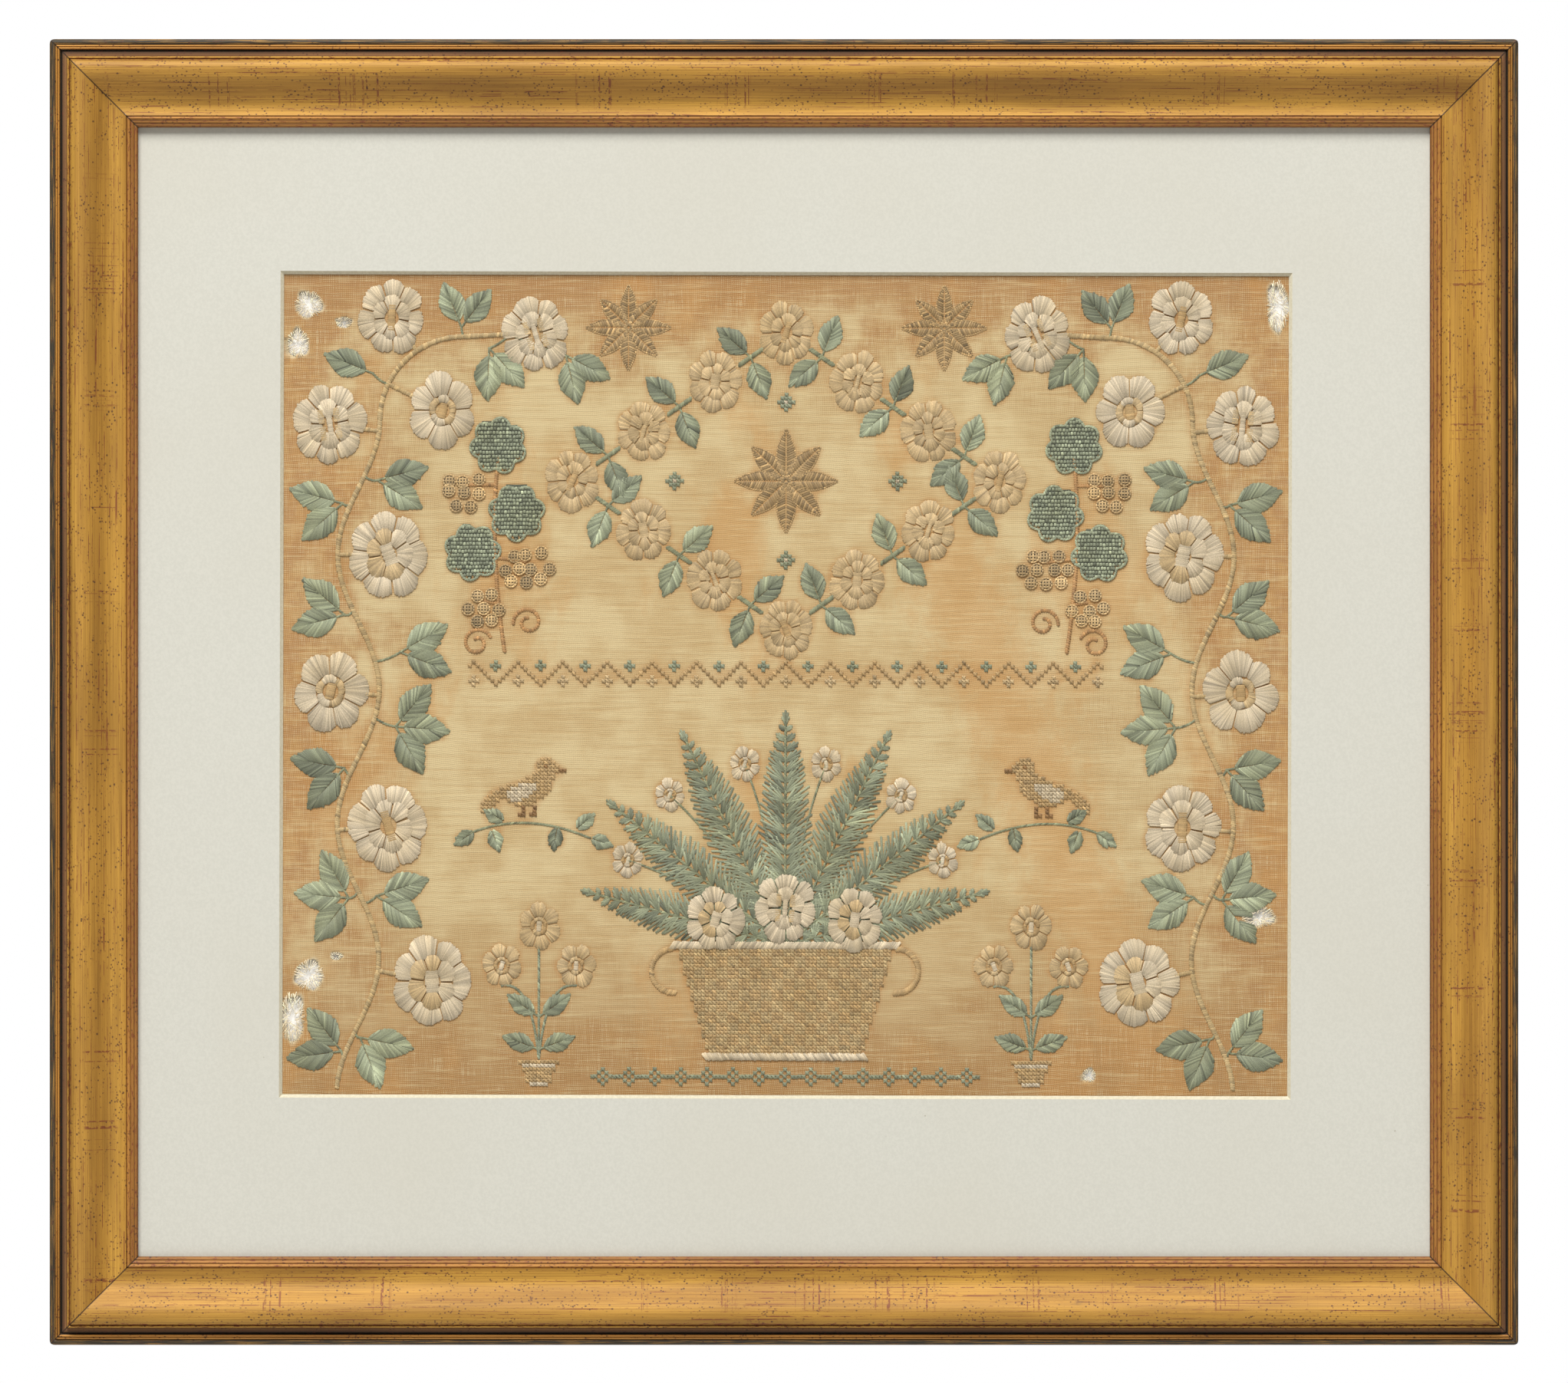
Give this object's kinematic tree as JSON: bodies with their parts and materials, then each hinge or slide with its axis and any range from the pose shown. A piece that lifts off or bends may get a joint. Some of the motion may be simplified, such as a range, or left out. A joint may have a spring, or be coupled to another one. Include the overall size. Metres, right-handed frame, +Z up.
{
  "type": "framed cross stitch sampler in its picture frame",
  "caption": "Old floral needlework sampler on torn gauze, behind a bevelled window mat, in a gilt moulding frame that hangs on a wall.",
  "frame": {"origin": "middle of the top rail's back face, where the picture hangs on a wall", "axes": "+X to the right seen from the front, +Y into the wall, +Z up"},
  "size_m": [0.632, 0.022, 0.562],
  "materials": {
    "gilt_wood": "rubbed gold leaf over red clay, worn at the edges",
    "mat_card": "matt off-white card with a cream core",
    "gauze": "open plain weave, stained, with matt wool and silk stitches",
    "white_card": "matt white card"
  },
  "bodies": {
    "root": {"rail_top": "gilt_wood", "rail_right": "gilt_wood", "rail_bottom": "gilt_wood", "rail_left": "gilt_wood", "mat": "mat_card", "cloth": "gauze", "mount_board": "white_card"}
  },
  "joints": []
}
